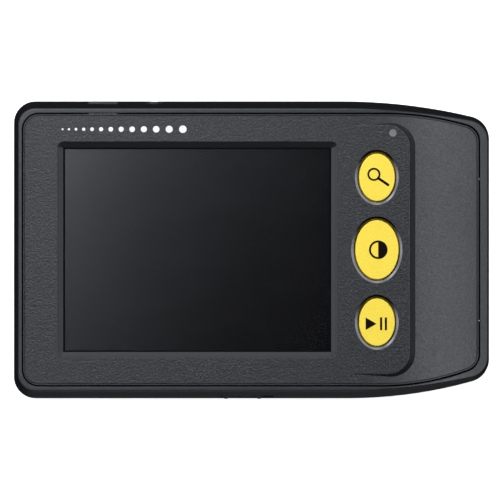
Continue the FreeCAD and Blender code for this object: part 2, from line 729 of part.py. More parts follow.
# sound holes of the buzzer
for n, (dx, dy) in enumerate(((0, 0), (2.2, 0), (-2.2, 0), (0, 2.2), (0, -2.2))):
    cutters.append(cyl("sound_hole_%d" % n, 0.55, 5, -48 + dx, -14 + dy, 0))
rear_housing = cut("rear_housing", rear_solid, *cutters)

# ------------------------------------------------------------------ battery door: a slice of the outer form, with tongues
door_plate = box("door_plate", "body_len / 2 - door_left + 4", "2 * door_half", "door_thk + 3", "door_left", "-door_half", "back_z - 3")
door_end = box("door_end", 6, "2 * door_half", "door_end_z - back_z + 3", "door_end_x", "-door_half", "back_z - 3")
door_block = fuse("door_block", door_plate, door_end)
door_skin = common("door_skin", envelope, door_block)
tongue = box("door_tongue", "door_end_x - door_left - 6", "2 * tongue_half", "door_thk - 0.6 - 0.1", "door_left + 4.2", "-tongue_half", "back_z + 0.6 + 0.05")
door_body = fuse("door_body", door_skin, tongue)
ridges = [box("door_ridge_%d" % n, 0.8, 16, 0.6, 47.0 + 1.8 * n, -8, "back_z - 0.25") for n in range(6)]
battery_cover = cut("battery_cover", door_body, *ridges)

# ------------------------------------------------------------------ front housing
outer_band = side_band("front_band", (0.0, "0"), (S["skirt"], "skirt"))
lid = new_body("lid_form")
l1 = seam_outline(lid, "lid_line", (S["seam_gap"], "seam_gap"), (8.0, "8"))
pad(lid, l1, "lid_pad", 22)
lid_solid = common("lid_solid", outer_band, lid)
inner_band = side_band("front_hollow_band", (S["front_wall"], "front_wall"), (S["skirt"] + 6, "skirt + 6"))
hollow = new_body("hollow_form")
h1 = seam_outline(hollow, "hollow_line", (S["seam_gap"] + S["front_wall"], "seam_gap + front_wall"), (6.0, "6"))
pad(hollow, h1, "hollow_pad", 24)
lid_hollow = common("lid_hollow", inner_band, hollow)
lid_edge = fillet(
    "lid_edge",
    lid_solid,
    lambda e: min(v.Point.z for v in e.Vertexes) > 18.5 and e.CenterOfMass.z > 19 and e.BoundBox.ZLength < 7 and e.Length > 0.5
    and not (abs(e.CenterOfMass.x - S["ramp_start"]) < 0.01 and e.BoundBox.YLength > 60)
    and all(abs(v.Point.z - (S["body_hgt"] if v.Point.x <= S["ramp_start"] + 0.01 else S["body_hgt"] - S["ramp_rad"] + math.sqrt(S["ramp_rad"] ** 2 - (v.Point.x - S["ramp_start"]) ** 2))) < 1e-3 for v in e.Vertexes),
    S["lid_round"],
)
trim_band = side_band("trim_band", (-1.0, "-1"), (S["trim_depth"], "trim_depth"))
trim_out = new_body("trim_out")
t1 = seam_outline(trim_out, "trim_out_line", (S["seam_gap"] + S["bead"], "seam_gap + bead"), (12.0, "12"))
pad(trim_out, t1, "trim_out_pad", 18)
trim_in = new_body("trim_in")
t2 = seam_outline(trim_in, "trim_in_line", (S["seam_gap"] + S["bead"] + S["trim_wid"], "seam_gap + bead + trim_wid"), (11.0, "11"))
pad(trim_in, t2, "trim_in_pad", 20)
trim_groove = cut("trim_groove", common("trim_ring", trim_band, trim_out), trim_in)
lid_shell = cut("lid_shell", lid_edge, lid_hollow, trim_groove)

panel = new_body("panel_form")
ps = new_sketch(panel, "panel_outline", "XY_Plane", S["body_hgt"], "body_hgt")
pl, pr, ph, pc = 20.0, S["panel_right"], S["panel_half"], S["panel_corner"]
ps.addGeometry(
    [
        Part.LineSegment(V(pl, -ph, 0), V(pr - pc, -ph, 0)),
        arc(pr - pc, -ph + pc, pc, -90, 0),
        Part.LineSegment(V(pr, -ph + pc, 0), V(pr, ph - pc, 0)),
        arc(pr - pc, ph - pc, pc, 0, 90),
        Part.LineSegment(V(pr - pc, ph, 0), V(pl, ph, 0)),
        Part.LineSegment(V(pl, ph, 0), V(pl, -ph, 0)),
    ],
    False,
)
C = Sketcher.Constraint
ps.addConstraint([C("Tangent", 0, 2, 1, 1), C("Tangent", 1, 2, 2, 1), C("Tangent", 2, 2, 3, 1), C("Tangent", 3, 2, 4, 1), C("Coincident", 4, 2, 5, 1), C("Coincident", 5, 2, 0, 1)])
ps.addConstraint([C("Horizontal", 0), C("Vertical", 2), C("Horizontal", 4), C("Vertical", 5)])
name_constraint(ps, C("DistanceX", -1, 1, 5, 1, pl), "left_side", None)
name_constraint(ps, C("DistanceX", -1, 1, 2, 1, pr), "right_side", "panel_right")
name_constraint(ps, C("DistanceY", -1, 1, 4, 1, ph), "upper_side", "panel_half")
name_constraint(ps, C("DistanceY", 0, 1, -1, 1, ph), "lower_side", "panel_half")
name_constraint(ps, C("Radius", 1, pc), "corner_low", "panel_corner")
name_constraint(ps, C("Radius", 3, pc), "corner_up", "panel_corner")
pad(panel, ps, "panel_pad", "panel_depth", "panel_lean", reverse=True)
panel_keep = box("panel_keep", 30, 71.4, 10, "panel_left", -35.7, 20)
panel_cut = common("panel_cut", panel, panel_keep)
panel_block = fillet(
    "panel_block",
    panel_cut,
    lambda e: all(abs(v.Point.z - S["body_hgt"]) < 1e-4 for v in e.Vertexes) and e.CenterOfMass.x > S["panel_left"] + 0.01,
    S["panel_round"],
)


def recess(name):
    """The sloped recess round the screen, from small corners at the screen to round ones at the front face."""
    body = new_body(name)
    z = ((S["body_hgt"] - S["win_depth"], "body_hgt - win_depth"), (S["body_hgt"] + 0.001, "body_hgt + 0.001"))
    lines = []
    for n, (grow, r, e) in enumerate(((0.0, S["win_corner"], "win_corner"), (S["win_bevel"], S["win_round"], "win_round"))):
        lx, ly = S["win_len"] + 2 * grow, S["win_wid"] + 2 * grow
        plus = " + 2 * win_bevel" if n else ""
        lines.append(round_rectangle(body, name + "_line%d" % n, (lx, "win_len" + plus), (ly, "win_wid" + plus), (r, e), (S["win_x"], "win_x"), (0.0, "0"), z[n]))
    up = body.newObject("PartDesign::AdditiveLoft", name + "_slope")
    up.Profile = lines[0]
    up.Sections = [lines[1]]
    up.Ruled = True
    for s in lines:
        s.Visibility = False
    return body


posts = []
for side, sx, sy, top in (("l", "screw_lx", "screw_ly", "body_hgt - front_wall / 2"), ("r", "screw_rx", "screw_ry", "body_hgt - 5.4")):
    for sign, t in (("", "u"), ("-", "d")):
        posts.append(cyl("front_post_" + side + t, 2.3, top + " - post_split", sx, sign + sy, "post_split"))
lid_full = fuse("lid_full", lid_shell, panel_block, *posts)

front_cuts = [
    box("window_gap", "win_len", "win_wid", 10, "win_x - win_len / 2", "-win_wid / 2", 20),
    recess("window_bevel"),
    cyl("pipe_hole", "pipe_rad + 0.04", 12, "led_x", "led_y", 20),
]
for name, kind, y, _ in BUTTONS:
    a, b = kind + "_a + btn_gap", kind + "_b + btn_gap"
    e1 = ellipse(name + "_hole_line", a, b, "btn_x", y, 20)
    front_cuts.append(extrude(name + "_hole", e1, 10))
    e2 = ellipse(name + "_dish_low", a, b, "btn_x", y, "body_hgt - dish_depth")
    e3 = ellipse(name + "_dish_top", a + " + dish_wid", b + " + dish_wid", "btn_x", y, "body_hgt + 0.001")
    front_cuts.append(loft(name + "_dish", e2, e3))
for side, sx, sy in (("l", "screw_lx", "screw_ly"), ("r", "screw_rx", "screw_ry")):
    for sign, t in (("", "u"), ("-", "d")):
        front_cuts.append(cyl("pilot_front_" + side + t, "screw_rad", 6.6, sx, sign + sy, "post_split - 1"))
front_housing = cut("front_housing", lid_full, *front_cuts)

# ------------------------------------------------------------------ screen stack
screen_window = box("screen_window", "glass_len", "glass_wid", "glass_thk", "win_x - glass_len / 2", "-glass_wid / 2", "glass_z")
screen_gasket = cut(
    "screen_gasket",
    box("gasket_out", "glass_len", "glass_wid", "gasket_thk", "win_x - glass_len / 2", "-glass_wid / 2", "glass_z - gasket_thk"),
    box("gasket_in", "win_len", "win_wid", "gasket_thk + 2", "win_x - win_len / 2", "-win_wid / 2", "glass_z - gasket_thk - 1"),
)
lcd_panel = box("lcd_panel", "lcd_len", "lcd_wid", "lcd_thk", "win_x - lcd_len / 2", "-lcd_wid / 2", "glass_z - gasket_thk - lcd_thk")
lcd_backlight = cut(
    "lcd_backlight",
    box("tray_out", "tray_len", "tray_wid", "tray_thk", "win_x - tray_len / 2", "-tray_wid / 2", "tray_z"),
    box("tray_in", "lcd_len + 0.2", "lcd_wid + 0.2", 5, "win_x - lcd_len / 2 - 0.1", "-lcd_wid / 2 - 0.1", "glass_z - gasket_thk - lcd_thk"),
)


screen_pads = group("screen_pads", *[box("screen_pad_%d" % n, 12, 3, "tray_z - pcb_z - pcb_thk", x, y, "pcb_z + pcb_thk") for n, (x, y) in enumerate(((-38, 24), (-38, -27), (0, 24), (0, -27)))])


def strip(name, points, bend, thick, width, y):
    """A flat ribbon cable: a bent strip in the XZ plane, with round bends, thick by width."""
    body = new_body(name)
    s = new_sketch(body, name + "_path", "XZ_Plane", y)
    runs = []
    last = V(points[0][0], points[0][1], 0)
    for i in range(1, len(points) - 1):
        p, q, r = V(*points[i - 1], 0), V(*points[i], 0), V(*points[i + 1], 0)
        a, b = (p - q).normalize(), (r - q).normalize()
        turn = a.getAngle(b)
        back = bend / math.tan(turn / 2)
        s1, s2 = q + a * back, q + b * back
        mid = (a + b).normalize()
        centre = q + mid * (bend / math.sin(turn / 2))
        runs.append((last, s1, None))
        runs.append((s1, s2, centre))
        last = s2
    runs.append((last, V(*points[-1], 0), None))
    left, right = [], []
    for p, q, centre in runs:
        if centre is None:
            n = (q - p).normalize()
            n = V(-n.y, n.x, 0) * (thick / 2)
            left.append(Part.LineSegment(p + n, q + n))
            right.append(Part.LineSegment(p - n, q - n))
        else:
            m = ((p + q) * 0.5 - centre).normalize()
            a, b = (p - centre).normalize(), (q - centre).normalize()
            inside = (a.cross(b)).z > 0
            for side, k in ((left, -1 if inside else 1), (right, 1 if inside else -1)):
                rad = bend + k * thick / 2
                side.append(Part.Arc(centre + a * rad, centre + m * rad, centre + b * rad))
    ends = [Part.LineSegment(left[0].StartPoint, right[0].StartPoint), Part.LineSegment(left[-1].EndPoint, right[-1].EndPoint)]
    s.addGeometry([g for g in left + right + ends], False)
    s.addConstraint([Sketcher.Constraint("Block", i) for i in range(len(left) + len(right) + 2)])
    pad(body, s, name + "_pad", width, symmetric=True)
    return body


lcd_flex = strip("lcd_flex", [(-52.9, 20.9), (-55.0, 20.9), (-55.0, 18.8), (-50.2, 18.8)], 1.0, 0.2, 18, 0)
lcd_connector = box("lcd_connector", 4.2, 19, 1.1, -50.2, -9.5, "pcb_z + pcb_thk")
camera_flex = strip("camera_flex", [(-6.0, 10.1), (2.8, 10.1), (2.8, 15.4)], 1.6, 0.2, 8, 0)
camera_connector = box("camera_connector", 3, 9, 1.1, 1.3, -4.5, "pcb_z - 1.1")

# ------------------------------------------------------------------ main board and what it carries
board = box("board_blank", "pcb_len", "pcb_wid", "pcb_thk", "pcb_left", "-pcb_wid / 2", "pcb_z")
board_holes = []
for side, sx, sy in (("l", "so_lx", "so_ly"), ("r", "so_rx", "so_ry")):
    for sign, t in (("", "u"), ("-", "d")):
        board_holes.append(cyl("board_hole_" + side + t, 1.1, 4, sx, sign + sy, "pcb_z - 1"))
main_board = cut("main_board", board, *board_holes)
board_top = "pcb_z + pcb_thk"
screws = []
for side, sx, sy in (("l", "so_lx", "so_ly"), ("r", "so_rx", "so_ry")):
    for sign, t in (("", "u"), ("-", "d")):
        key = side + t
        head = cyl("bs_head_" + key, 1.8, 1.1, sx, sign + sy, board_top)
        shank = cyl("bs_shank_" + key, "bs_rad", 6.2, sx, sign + sy, board_top + " - 6.2")
        slot1 = box("bs_slot_a_" + key, 2.4, 0.5, 0.8, sx + " - 1.2", sign + sy + " - 0.25", board_top + " + 0.5")
        slot2 = box("bs_slot_b_" + key, 0.5, 2.4, 0.8, sx + " - 0.25", sign + sy + " - 1.2", board_top + " + 0.5")
        screws.append(cut("bs_" + key, fuse("bs_body_" + key, head, shank), slot1, slot2))
board_screws = group("board_screws", *screws)

tacts = []
for name, kind, y, _ in BUTTONS:
    can = box(name + "_tact_can", "tact_side", "tact_side", "tact_hgt", "btn_x - tact_side / 2", y + " - tact_side / 2", board_top)
    tacts.append(cut(name + "_tact", can, cyl(name + "_tact_bore", "bore_rad", 4, "btn_x", y, board_top + " + 0.6")))
button_switches = group("button_switches", *tacts)

processor_chip = box("processor_chip", 14, 14, 1.2, 10, -7, "pcb_z - 1.2")
memory_chip = box("memory_chip", 12, 8, 1.0, 28, 7, "pcb_z - 1.0")
power_chips = group("power_chips", box("chip_a", 5, 5, 0.9, 30, -10, "pcb_z - 0.9"), box("chip_b", 4, 5, 0.9, 38, -18, "pcb_z - 0.9"), box("chip_c", 6, 4, 0.9, -30, 16, "pcb_z - 0.9"))
coils = group("board_coils", box("coil_a", 4.5, 4.5, 2.4, 24, -20, "pcb_z - 2.4"), box("coil_b", 4.5, 4.5, 2.4, 31, -24, "pcb_z - 2.4"), box("coil_c", 3.2, 3.2, 1.6, -12, 22, "pcb_z - 1.6"))
caps = group("board_capacitors", *[cyl("cap_%d" % n, 2.0, 4.2, x, y, "pcb_z - 4.2") for n, (x, y) in enumerate(((42, 4), (42, 9), (16, -24)))])
buzzer = cyl("buzzer", 4.5, 4.5, -48, -14, "pcb_z - 4.5")

# ------------------------------------------------------------------ indicator
indicator_led = box("indicator_led", 1.6, 1.6, 0.7, "led_x - 0.8", "led_y - 0.8 - 0.4", board_top)
light_pipe = fuse("indicator_light_pipe", cyl("pipe_rod", "pipe_rad", "body_hgt - 0.05 - 19.0", "led_x", "led_y", 19.0), cyl("pipe_collar", 1.9, 1.0, "led_x", "led_y", 21.4))

# ------------------------------------------------------------------ buttons
tops, moving = {}, {}
for name, kind, y, _ in BUTTONS:
    a, b = kind + "_a", kind + "_b"
    cap = extrude(name + "_cap", ellipse(name + "_cap_line", a, b, "btn_x", y, "btn_low - btn_clear - flange_thk / 2"), "btn_top - btn_low + btn_clear + flange_thk / 2")
    capped = fillet(name + "_cap_round", cap, lambda e: abs(e.CenterOfMass.z - S["btn_top"]) < 1e-3, S["btn_round"])
    flange = extrude(name + "_flange", ellipse(name + "_flange_line", a + " + flange_wid", b + " + flange_wid", "btn_x", y, "btn_low - btn_clear - flange_thk"), "flange_thk")
    stem = cyl(name + "_stem", "stem_rad", "btn_low - btn_clear - flange_thk / 2 - plunger_top", "btn_x", y, "plunger_top")
    moving[name + "_button"] = fuse(name + "_button", capped, flange, stem)
    moving[name + "_plunger"] = cyl(name + "_plunger", "plunger_rad", "plunger_top - plunger_low", "btn_x", y, "plunger_low")

# ------------------------------------------------------------------ camera
camera_board = box("camera_board", "cover_len + 2 * well_wall - 0.4", "cover_wid + 2 * well_wall - 0.4", "camboard_thk", "cam_x - cover_len / 2 - well_wall + 0.2", "-cover_wid / 2 - well_wall + 0.2", "well_top")
camera_holder = cut(
    "camera_holder",
    box("holder_block", "holder_side", "holder_side", 2.6, "cam_x - holder_side / 2", "-holder_side / 2", "well_top - 2.6"),
    cyl("holder_bore", "barrel_rad", 2.0, "cam_x", 0, "well_top - 2.6"),
)
camera_barrel = cut(
    "camera_lens_barrel",
    cyl("barrel_out", "barrel_rad", 5.0, "cam_x", 0, "well_top - 5.6"),
    cyl("barrel_in", 2.6, 1.4, "cam_x", 0, "well_top - 5.6"),
    cyl("barrel_path", 1.5, 8, "cam_x", 0, "well_top - 5.6"),
)
lens_disc = cyl("lens_disc", 2.6, 1.3, "cam_x", 0, "well_top - 5.5")
lens_ball = doc.addObject("Part::Sphere", "lens_ball")
lens_ball.Radius = 6.0
place(lens_ball, "cam_x", 0, "well_top - 5.5 + 6.0 + 0.05")
camera_lens = common("camera_lens", lens_disc, lens_ball)
lens_hood = cut("lens_hood", cyl("hood_out", "hood_rad", "well_top - 2.4", "cam_x", 0, 2.35), cyl("hood_in_space", "hood_in", 12, "cam_x", 0, 0))
lamps = []
for n, (dx, dy) in enumerate(((1, 1), (1, -1), (-1, 1), (-1, -1))):
    lamps.append(box("lamp_%d" % n, "lamp_side", "lamp_side", 1.4, "cam_x + %d * lamp_dx - lamp_side / 2" % dx, "%d * lamp_dy - lamp_side / 2" % dy, "well_top - 1.4"))
illumination_leds = group("illumination_leds", *lamps)
camera_cover = rounded_plate("camera_cover", (S["cover_len"], "cover_len"), (S["cover_wid"], "cover_wid"), (S["cover_corner"], "cover_corner"), (S["cam_x"], "cam_x"), (0.0, "0"), (S["cover_z"], "cover_z"), "cover_thk")

# ------------------------------------------------------------------ battery
pack_block = box("pack_block", "bat_len", "bat_wid", "bat_thk", "bat_x", "-bat_wid / 2", "bat_z")
battery_pack = fillet("battery_pack", pack_block, lambda e: e.BoundBox.XLength < 1e-6 and e.BoundBox.YLength < 1e-6, 1.6)
battery_contact_block = box("battery_contact_block", 3.0, 20, 6.0, "bay_left + 0.2", -10, 3.0)
springs = []
for n in (-1, 0, 1):
    springs.append(box("blade_%d" % (n + 1), 0.8, 2.2, 3.0, "bay_left + 3.2", 6.0 * n - 1.1, 4.4))
    springs.append(box("pin_%d" % (n + 1), 0.7, 0.7, "pcb_z - 9.0", "bay_left + 1.4", 6.0 * n - 0.35, 9.0))
battery_springs = group("battery_contacts", *springs)

# ------------------------------------------------------------------ fold-out stand
low_z = "hinge_z - arm_thk / 2"
arms = [
    box("arm_left", "arm_wid", "hinge_y - bar_low", "arm_thk", "cam_x - stand_half", "bar_low", low_z),
    box("arm_right", "arm_wid", "hinge_y - bar_low", "arm_thk", "cam_x + stand_half - arm_wid", "bar_low", low_z),
    box("stand_bar", "2 * stand_half", "bar_wid", "arm_thk", "cam_x - stand_half", "bar_low", low_z),
    cyl("knuckle_left", "arm_thk / 2", "arm_wid", "cam_x - stand_half", "hinge_y", "hinge_z", "+X"),
    cyl("knuckle_right", "arm_thk / 2", "arm_wid", "cam_x + stand_half - arm_wid", "hinge_y", "hinge_z", "+X"),
]
stand_solid = fuse("stand_solid", *arms)
stand_frame = cut(
    "stand_frame",
    stand_solid,
    cyl("knuckle_bore_left", "hinge_rad + 0.05", 8, "cam_x - stand_half - 2", "hinge_y", "hinge_z", "+X"),
    cyl("knuckle_bore_right", "hinge_rad + 0.05", 8, "cam_x + stand_half - 6", "hinge_y", "hinge_z", "+X"),
    box("pad_seat", 28, 2, 2.4, "cam_x - 14", "bar_low - 1", "hinge_z - 1.2"),
)
stand_pad = box("stand_pad", 28, 1.0, 2.4, "cam_x - 14", "bar_low", "hinge_z - 1.2")
stand_pins = group(
    "stand_pins",
    cyl("stand_pin_left", "hinge_rad", 8.4, "cam_x - stand_half - 2.9", "hinge_y", "hinge_z", "+X"),
    cyl("stand_pin_right", "hinge_rad", 8.4, "cam_x + stand_half - 5.5", "hinge_y", "hinge_z", "+X"),
)

# ------------------------------------------------------------------ power switch
plate = box("knob_plate", "knob_len", 1.2, "knob_hgt", "knob_x - knob_len / 2", "-body_wid / 2 + 0.5", "knob_z - knob_hgt / 2")
ribs = [
    box("knob_rib_left", 1.0, 1.0, "knob_hgt - 1.0", "knob_x - rib_half - 0.5", "-body_wid / 2 - 0.1", "knob_z - knob_hgt / 2 + 0.5"),
    box("knob_rib_right", 1.0, 1.0, "knob_hgt - 1.0", "knob_x + rib_half - 0.5", "-body_wid / 2 - 0.1", "knob_z - knob_hgt / 2 + 0.5"),
] + [box("knob_grip_%d" % n, 0.6, 0.8, "knob_hgt - 1.4", "knob_x - 0.3 + %.1f" % (1.5 * n), "-body_wid / 2 + 0.2", "knob_z - knob_hgt / 2 + 0.7") for n in (-1, 0, 1)]
stem = box("knob_stem", 4, 5.4, 2.8, "knob_x - 2", "-body_wid / 2 + 1.5", "knob_z - 1.4")
power_knob = cut("power_knob", fuse("knob_solid", plate, stem, *ribs), box("lever_pocket", 1.7, 2, 1.7, "knob_x - 0.85", -34.7, "knob_z - 0.85"))
power_lever = box("power_lever", 1.6, 4.1, 1.6, "knob_x - 0.8", -34.65, "knob_z - 0.8")
power_switch = cut(
    "power_switch",
    box("switch_can", 9.5, 3.6, "pcb_z - 12.3", "knob_x + knob_travel / 2 - 4.75", -32, 12.3),
    box("switch_slot", "1.6 + knob_travel + 0.4", 2.0, 2.0, "knob_x - 1.0", -32.3, "knob_z - 1.0"),
)

# ------------------------------------------------------------------ sockets
usb_shell = cut(
    "usb_can",
    box("usb_out", "usb_wid", 10.6, "usb_hgt", "usb_x - usb_wid / 2", "port_face - 10.6", "pcb_z - usb_hgt"),
    box("usb_in", "usb_wid - 0.8", 8.4, "usb_hgt - 0.8", "usb_x - usb_wid / 2 + 0.4", "port_face - 8.3", "pcb_z - usb_hgt + 0.4"),
)
usb_socket = fuse("usb_socket", usb_shell, box("usb_tongue", 4.6, 7.6, 0.9, "usb_x - 2.3", "port_face - 8.6", "pcb_z - usb_hgt / 2 - 0.1"))
av_socket = cut(
    "av_socket",
    fuse("av_solid", box("av_block", 6.2, 9.5, 5.6, "av_x - 3.1", 27, "pcb_z - 5.6"), cyl("av_nose", "av_barrel", "port_face - 36.0", "av_x", 36.0, "av_z", "+Y")),
    cyl("av_hole", "av_bore", 12, "av_x", "port_face - 11.0", "av_z", "+Y"),
)

# ------------------------------------------------------------------ fasteners and feet
made = []
for side, sx, sy in (("l", "screw_lx", "screw_ly"), ("r", "screw_rx", "screw_ry")):
    for sign, t in (("", "u"), ("-", "d")):
        key = side + t
        head = cyl("hs_head_" + key, "head_rad", "head_hgt", sx, sign + sy, "sink_z - head_hgt")
        shank = cyl("hs_shank_" + key, "screw_rad", "screw_end - sink_z", sx, sign + sy, "sink_z")
        slot1 = box("hs_slot_a_" + key, 2.6, 0.55, 0.8, sx + " - 1.3", sign + sy + " - 0.275", "sink_z - head_hgt - 0.05")
        slot2 = box("hs_slot_b_" + key, 0.55, 2.6, 0.8, sx + " - 0.275", sign + sy + " - 1.3", "sink_z - head_hgt - 0.05")
        made.append(cut("hs_" + key, fuse("hs_body_" + key, head, shank), slot1, slot2))
housing_screws = group("housing_screws", *made)
feet = []
for side, sx, sy in (("l", "foot_lx", "foot_ly"), ("r", "foot_rx", "foot_ry")):
    for sign, t in (("", "u"), ("-", "d")):
        feet.append(fillet("foot_" + side + t, cyl("foot_disc_" + side + t, "foot_rad", "foot_thk", sx, sign + sy, 0), lambda e: abs(e.CenterOfMass.z) < 1e-6 and e.Length > 5, 0.3))
rubber_feet = group("rubber_feet", *feet)

# ------------------------------------------------------------------ check and write
NODES = {
    "front_housing": front_housing,
    "rear_housing": rear_housing,
    "battery_cover": battery_cover,
    "screen_window": screen_window,
    "screen_gasket": screen_gasket,
    "lcd_panel": lcd_panel,
    "lcd_backlight": lcd_backlight,
    "lcd_flex": lcd_flex,
    "lcd_connector": lcd_connector,
    "main_board": main_board,
    "board_screws": board_screws,
    "button_switches": button_switches,
    "processor_chip": processor_chip,
    "memory_chip": memory_chip,
    "power_chips": power_chips,
    "board_coils": coils,
    "board_capacitors": caps,
    "buzzer": buzzer,
    "indicator_led": indicator_led,
    "indicator_light_pipe": light_pipe,
    "camera_board": camera_board,
    "camera_holder": camera_holder,
    "camera_lens_barrel": camera_barrel,
    "camera_lens": camera_lens,
    "camera_flex": camera_flex,
    "camera_connector": camera_connector,
    "camera_cover": camera_cover,
    "lens_hood": lens_hood,
    "illumination_leds": illumination_leds,
    "battery_pack": battery_pack,
    "battery_contact_block": battery_contact_block,
    "battery_contacts": battery_springs,
    "stand_frame": stand_frame,
    "stand_pad": stand_pad,
    "stand_pins": stand_pins,
    "power_knob": power_knob,
    "power_lever": power_lever,
    "power_switch": power_switch,
    "usb_socket": usb_socket,
    "av_socket": av_socket,
    "housing_screws": housing_screws,
    "rubber_feet": rubber_feet,
    "screen_pads": screen_pads,
}
NODES.update(moving)
for label, obj in NODES.items():
    obj.Label = label
doc.recompute()
bad = [o.Name for o in doc.Objects if "Invalid" in o.State or "Error" in o.State]
if bad:
    raise SystemExit("failed objects: %s" % bad)
os.makedirs("parts", exist_ok=True)
for label, obj in sorted(NODES.items()):
    shape = obj.Shape
    if shape.isNull() or not shape.isValid() or not shape.Solids:
        raise SystemExit("bad shape: " + label)
for label, obj in sorted(NODES.items()):
    obj.Shape.exportStep("parts/%s.step" % label)
    b = obj.Shape.BoundBox
    print("%-24s solids %d  volume %9.1f  x %7.2f %7.2f  y %7.2f %7.2f  z %6.2f %6.2f" % (label, len(obj.Shape.Solids), obj.Shape.Volume, b.XMin, b.XMax, b.YMin, b.YMax, b.ZMin, b.ZMax))
print(len(NODES), "nodes written")
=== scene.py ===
"""Looks for the handheld video magnifier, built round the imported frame. Metres, row frame, screen facing +Z."""

import math

import bmesh
import bpy
from mathutils import Matrix, Vector


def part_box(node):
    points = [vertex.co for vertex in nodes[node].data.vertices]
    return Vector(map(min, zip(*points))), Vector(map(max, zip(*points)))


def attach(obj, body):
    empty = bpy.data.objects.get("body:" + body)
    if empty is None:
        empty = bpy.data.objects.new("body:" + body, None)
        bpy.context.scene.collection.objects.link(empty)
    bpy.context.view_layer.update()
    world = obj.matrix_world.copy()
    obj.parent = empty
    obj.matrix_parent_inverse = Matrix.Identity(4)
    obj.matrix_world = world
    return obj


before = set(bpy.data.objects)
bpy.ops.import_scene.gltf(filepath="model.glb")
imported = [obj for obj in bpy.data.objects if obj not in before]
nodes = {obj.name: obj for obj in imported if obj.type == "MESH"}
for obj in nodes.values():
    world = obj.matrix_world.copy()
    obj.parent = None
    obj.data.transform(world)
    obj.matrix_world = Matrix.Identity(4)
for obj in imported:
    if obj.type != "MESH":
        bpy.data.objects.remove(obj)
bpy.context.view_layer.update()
MM = 0.001


# ------------------------------------------------------------------ materials
class Mat:
    """A small builder for node materials. Coordinates are the row frame's, in metres."""

    def __init__(self, name):
        self.m = bpy.data.materials.new(name)
        self.m.use_nodes = True
        self.t = self.m.node_tree
        self.t.nodes.clear()
        self.out = self.node("ShaderNodeOutputMaterial")
        self.bsdf = self.node("ShaderNodeBsdfPrincipled")
        self.t.links.new(self.bsdf.outputs[0], self.out.inputs["Surface"])
        self.co = self.node("ShaderNodeTexCoord").outputs["Object"]

    def node(self, kind, **props):
        n = self.t.nodes.new(kind)
        for k, v in props.items():
            setattr(n, k, v)
        return n

    def link(self, a, b):
        self.t.links.new(a, b)
        return self

    def put(self, **values):
        for k, v in values.items():
            self.bsdf.inputs[k.replace("_", " ")].default_value = v
        return self

    def scaled(self, vec):
        n = self.node("ShaderNodeMapping")
        n.inputs["Scale"].default_value = vec
        self.link(self.co, n.inputs["Vector"])
        return n.outputs["Vector"]

    def noise(self, scale, detail=2.0, rough=0.5, vec=None):
        n = self.node("ShaderNodeTexNoise")
        n.inputs["Scale"].default_value = scale
        n.inputs["Detail"].default_value = detail
        n.inputs["Roughness"].default_value = rough
        self.link(vec if vec is not None else self.co, n.inputs["Vector"])
        return n.outputs["Fac"]

    def voronoi(self, scale, feature="F1", vec=None):
        n = self.node("ShaderNodeTexVoronoi", feature=feature)
        n.inputs["Scale"].default_value = scale
        self.link(vec if vec is not None else self.co, n.inputs["Vector"])
        return n.outputs["Distance"]

    def ramp(self, fac, stops, interpolation="LINEAR"):
        n = self.node("ShaderNodeValToRGB")
        n.color_ramp.interpolation = interpolation
        e = n.color_ramp.elements
        while len(e) < len(stops):
            e.new(0.5)
        for el, (p, c) in zip(e, stops):
            el.position = p
            el.color = c if len(c) == 4 else (*c, 1.0)
        self.link(fac, n.inputs["Fac"])
        return n.outputs["Color"]

    def span(self, fac, lo, hi, a=0.0, b=1.0):
        n = self.node("ShaderNodeMapRange")
        n.inputs["From Min"].default_value = a
        n.inputs["From Max"].default_value = b
        n.inputs["To Min"].default_value = lo
        n.inputs["To Max"].default_value = hi
        self.link(fac, n.inputs["Value"])
        return n.outputs["Result"]

    def math(self, op, a, b=None, c=None):
        n = self.node("ShaderNodeMath", operation=op)
        for i, v in enumerate((a, b, c)):
            if v is None:
                continue
            if isinstance(v, (int, float)):
                n.inputs[i].default_value = v
            else:
                self.link(v, n.inputs[i])
        return n.outputs[0]

    def mix(self, a, b, fac, blend="MIX"):
        n = self.node("ShaderNodeMix", data_type="RGBA", blend_type=blend)
        for key, v in ((6, a), (7, b)):
            if isinstance(v, tuple):
                n.inputs[key].default_value = v if len(v) == 4 else (*v, 1.0)
            else:
                self.link(v, n.inputs[key])
        if isinstance(fac, (int, float)):
            n.inputs[0].default_value = fac
        else:
            self.link(fac, n.inputs[0])
        return n.outputs[2]

    def color(self, c):
        self.link(c, self.bsdf.inputs["Base Color"])
        return self

    def rough(self, r):
        self.link(r, self.bsdf.inputs["Roughness"])
        return self

    def bump(self, height, strength, distance):
        n = self.node("ShaderNodeBump")
        n.inputs["Strength"].default_value = strength
        n.inputs["Distance"].default_value = distance
        self.link(height, n.inputs["Height"])
        prev = self.bsdf.inputs["Normal"].links
        if prev:
            self.link(prev[0].from_socket, n.inputs["Normal"])
        self.link(n.outputs[0], self.bsdf.inputs["Normal"])
        return self

    def edge(self, radius):
        """Soft rounding of hard edges in the shading."""
        n = self.node("ShaderNodeBevel", samples=6)
        n.inputs["Radius"].default_value = radius
        self.link(n.outputs[0], self.bsdf.inputs["Normal"])
        return self


def grey(v, tint=(1.0, 1.0, 1.0)):
    return (v * tint[0], v * tint[1], v * tint[2])


COOL = (0.97, 0.98, 1.07)


